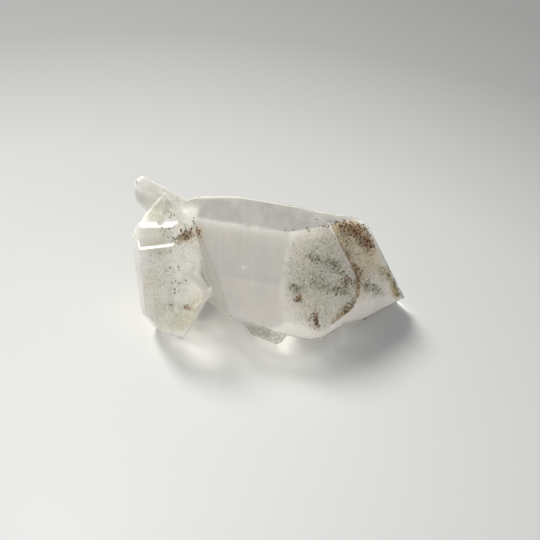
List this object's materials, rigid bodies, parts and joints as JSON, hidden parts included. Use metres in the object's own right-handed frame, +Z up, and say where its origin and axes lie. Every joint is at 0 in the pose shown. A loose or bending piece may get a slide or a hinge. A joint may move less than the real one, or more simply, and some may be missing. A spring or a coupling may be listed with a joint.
{
  "type": "quartz cluster",
  "caption": "Stout milky quartz crystal lying on its side with a slanted, speckled end, a clear upright crystal grown against it and small side crystals; rests on small flats.",
  "frame": {"origin": "centre of the bounding box, at the level of the resting flats", "axes": "+X along the main crystal towards its slanted end, -Y towards the pictured side, +Z up"},
  "size_m": [0.0723, 0.0411, 0.0326],
  "materials": {
    "quartz": "milky to clear glossy crystal with dark green and red-brown specks inside"
  },
  "bodies": {
    "root": {"quartz_cluster": "quartz"}
  },
  "joints": []
}
